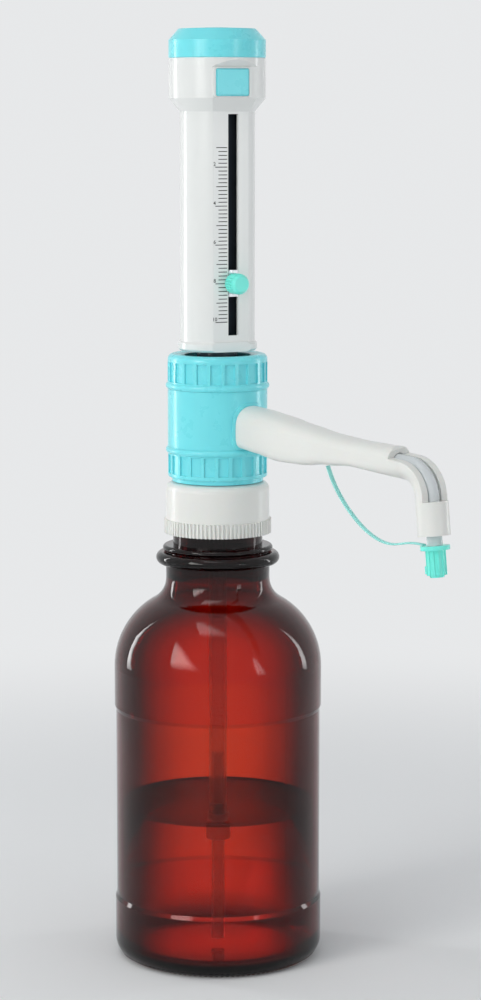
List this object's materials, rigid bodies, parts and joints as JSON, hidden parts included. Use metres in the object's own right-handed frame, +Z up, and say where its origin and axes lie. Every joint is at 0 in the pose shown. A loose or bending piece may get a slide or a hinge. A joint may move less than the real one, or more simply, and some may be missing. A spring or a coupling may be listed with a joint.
{
  "type": "bottle top dispenser",
  "caption": "Bottle top dispenser on an amber laboratory bottle: a lifting sleeve with a volume slider, a valve block and a side discharge arm with a capped nozzle.",
  "frame": {"origin": "middle of the bottle's base, on the plane of its contact ring", "axes": "+Z up along the bottle's axis, +X along the discharge arm, towards the nozzle"},
  "size_m": [0.2037, 0.101, 0.4511],
  "materials": {
    "amber_glass": "dark amber glass, smooth and glossy",
    "clear_glass": "clear borosilicate glass",
    "white_plastic": "smooth white plastic, slightly warm",
    "sleeve_plastic": "smooth white plastic with printed scale",
    "blue_plastic": "sky blue plastic, slightly translucent looking",
    "aqua_plastic": "aqua plastic",
    "strap_plastic": "soft pale aqua plastic",
    "navy_plastic": "dark navy plastic",
    "white_fluoropolymer": "waxy white fluoropolymer",
    "tube_plastic": "milky translucent tube",
    "seal_rubber": "black rubber",
    "ceramic_ball": "polished ceramic",
    "spring_wire": "drawn steel wire",
    "steel_rod": "ground steel",
    "brass_nut": "turned brass",
    "aluminium_slider": "anodised aluminium"
  },
  "bodies": {
    "bottle": {"bottle": "amber_glass"},
    "neck_seal": {"neck_seal": "seal_rubber"},
    "adapter": {"bottle_adapter": "white_plastic"},
    "valve_body": {"lower_union_nut": "blue_plastic", "valve_housing": "blue_plastic", "upper_union_nut": "blue_plastic", "valve_core": "white_fluoropolymer", "inlet_seat": "white_fluoropolymer", "outlet_valve": "white_fluoropolymer", "outlet_spring": "spring_wire", "glass_cylinder": "clear_glass", "cylinder_seal": "seal_rubber", "guide_tube": "navy_plastic", "stop_ring": "navy_plastic", "discharge_arm": "white_plastic", "discharge_tube": "tube_plastic", "cap_strap": "strap_plastic", "filling_tube_upper": "tube_plastic", "tube_coupling": "white_fluoropolymer"},
    "inlet_ball": {"inlet_ball": "ceramic_ball"},
    "outlet_ball": {"outlet_ball": "ceramic_ball"},
    "lower_tube": {"filling_tube_lower": "tube_plastic"},
    "nozzle_cap": {"nozzle_cap": "aqua_plastic"},
    "plunger": {"piston": "white_fluoropolymer", "piston_seal": "seal_rubber", "piston_rod": "steel_rod", "calibration_nut": "brass_nut"},
    "sleeve": {"dosing_sleeve": "sleeve_plastic", "top_cap": "blue_plastic", "front_badge": "blue_plastic"},
    "slider": {"volume_slider": "aluminium_slider"},
    "knob": {"volume_knob": "aqua_plastic", "clamp_screw": "steel_rod"}
  },
  "joints": [
    {"name": "neck_rise", "type": "slide", "parent": "bottle", "child": "neck_seal", "axis": [0, 0, 1], "range_m": [0, 0.00801]},
    {"name": "adapter_turn", "type": "hinge", "parent": "neck_seal", "child": "adapter", "pos_m": [0, 0, 0.222], "axis": [0, 0, 1], "range_deg": [0, 720]},
    {"name": "block_swivel", "type": "hinge", "parent": "adapter", "child": "valve_body", "pos_m": [0, 0, 0.2626], "axis": [0, 0, 1], "continuous": true},
    {"name": "dose_lift", "type": "slide", "parent": "valve_body", "child": "plunger", "axis": [0, 0, 1], "range_m": [0, 0.07315]},
    {"name": "sleeve_turn", "type": "hinge", "parent": "plunger", "child": "sleeve", "pos_m": [0, 0, 0.36], "axis": [0, 0, 1], "continuous": true},
    {"name": "volume_set", "type": "slide", "parent": "sleeve", "child": "slider", "axis": [0, 0, 1], "range_m": [-0.01829, 0.07315]},
    {"name": "knob_turn", "type": "hinge", "parent": "slider", "child": "knob", "pos_m": [0.01948, -0.0047, 0.33074], "axis": [0.9563, -0.2924, 0], "range_deg": [0, 180]},
    {"name": "cap_pull", "type": "slide", "parent": "valve_body", "child": "nozzle_cap", "axis": [0.1129, 0, -0.9936], "range_m": [0, 0.012]},
    {"name": "tube_extend", "type": "slide", "parent": "valve_body", "child": "lower_tube", "axis": [0, 0, 1], "range_m": [-0.0028, 0.06]},
    {"name": "inlet_ball_lift", "type": "slide", "parent": "valve_body", "child": "inlet_ball", "axis": [0, 0, 1], "range_m": [0, 0.0015]},
    {"name": "outlet_ball_lift", "type": "slide", "parent": "valve_body", "child": "outlet_ball", "axis": [0.9977, 0, -0.0684], "range_m": [0, 0.0015], "stiffness_N_per_m": 20, "springref_m": -0.0005, "deforming": ["outlet_spring"]}
  ],
  "couplings": [
    {"joint": "neck_rise", "follows": "adapter_turn", "m_per_rad": 0.00063662}
  ]
}
